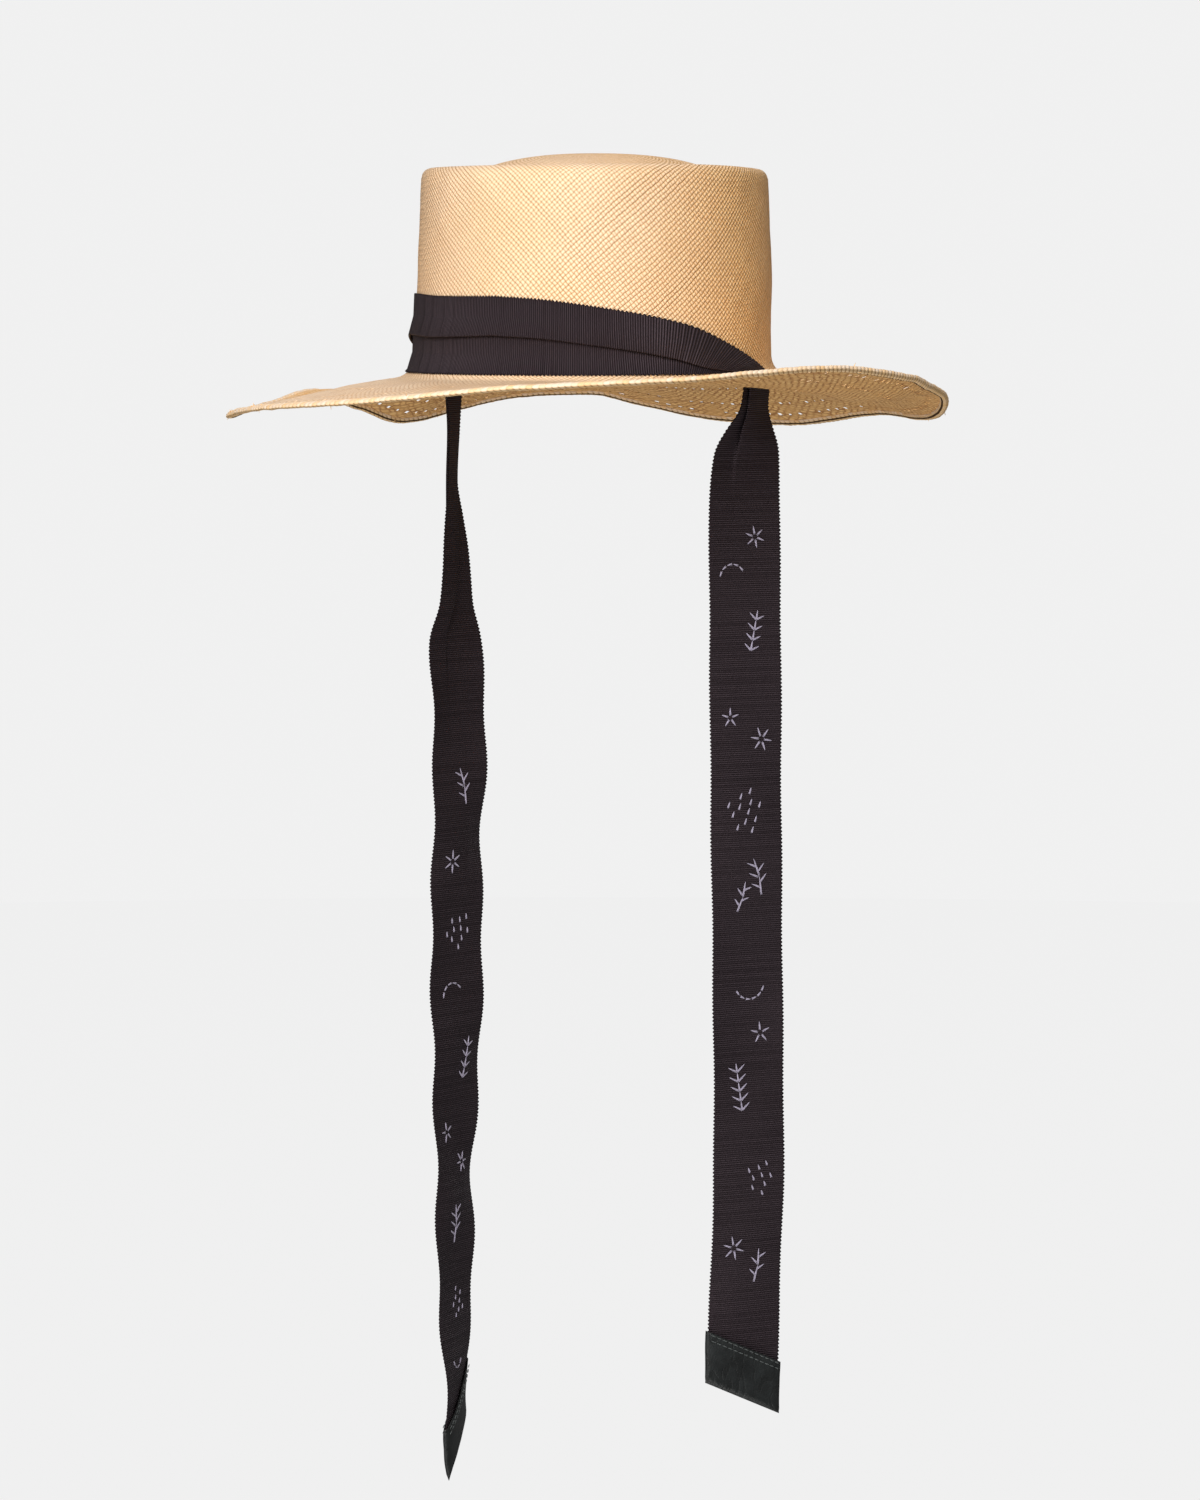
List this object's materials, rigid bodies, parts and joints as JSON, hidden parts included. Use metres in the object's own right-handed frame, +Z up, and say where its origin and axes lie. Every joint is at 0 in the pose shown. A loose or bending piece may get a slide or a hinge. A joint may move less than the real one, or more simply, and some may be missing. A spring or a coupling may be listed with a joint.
{
  "type": "wide-brimmed straw hat with ribbon ties",
  "caption": "Flat-crowned woven straw hat with a wide waved brim, a tucked ribbon band that passes through slits beside the crown, and long hanging ribbon ties with leather tips.",
  "frame": {"origin": "middle of the head opening, level with the top of the brim where it meets the crown", "axes": "+Z up through the crown, -Y towards the front of the hat, +X to the right of someone who faces the front"},
  "size_m": [0.3528, 0.3829, 0.6725],
  "materials": {
    "straw": "fine diagonal weave of natural plant straw, semi-matte",
    "ribbon": "matte ribbed ribbon with scalloped edges",
    "leather": "thin smooth leather with a fine grain"
  },
  "bodies": {
    "root": {"hat_body": "straw", "ribbon": "ribbon", "left_tip": "leather", "right_tip": "leather"}
  },
  "joints": []
}
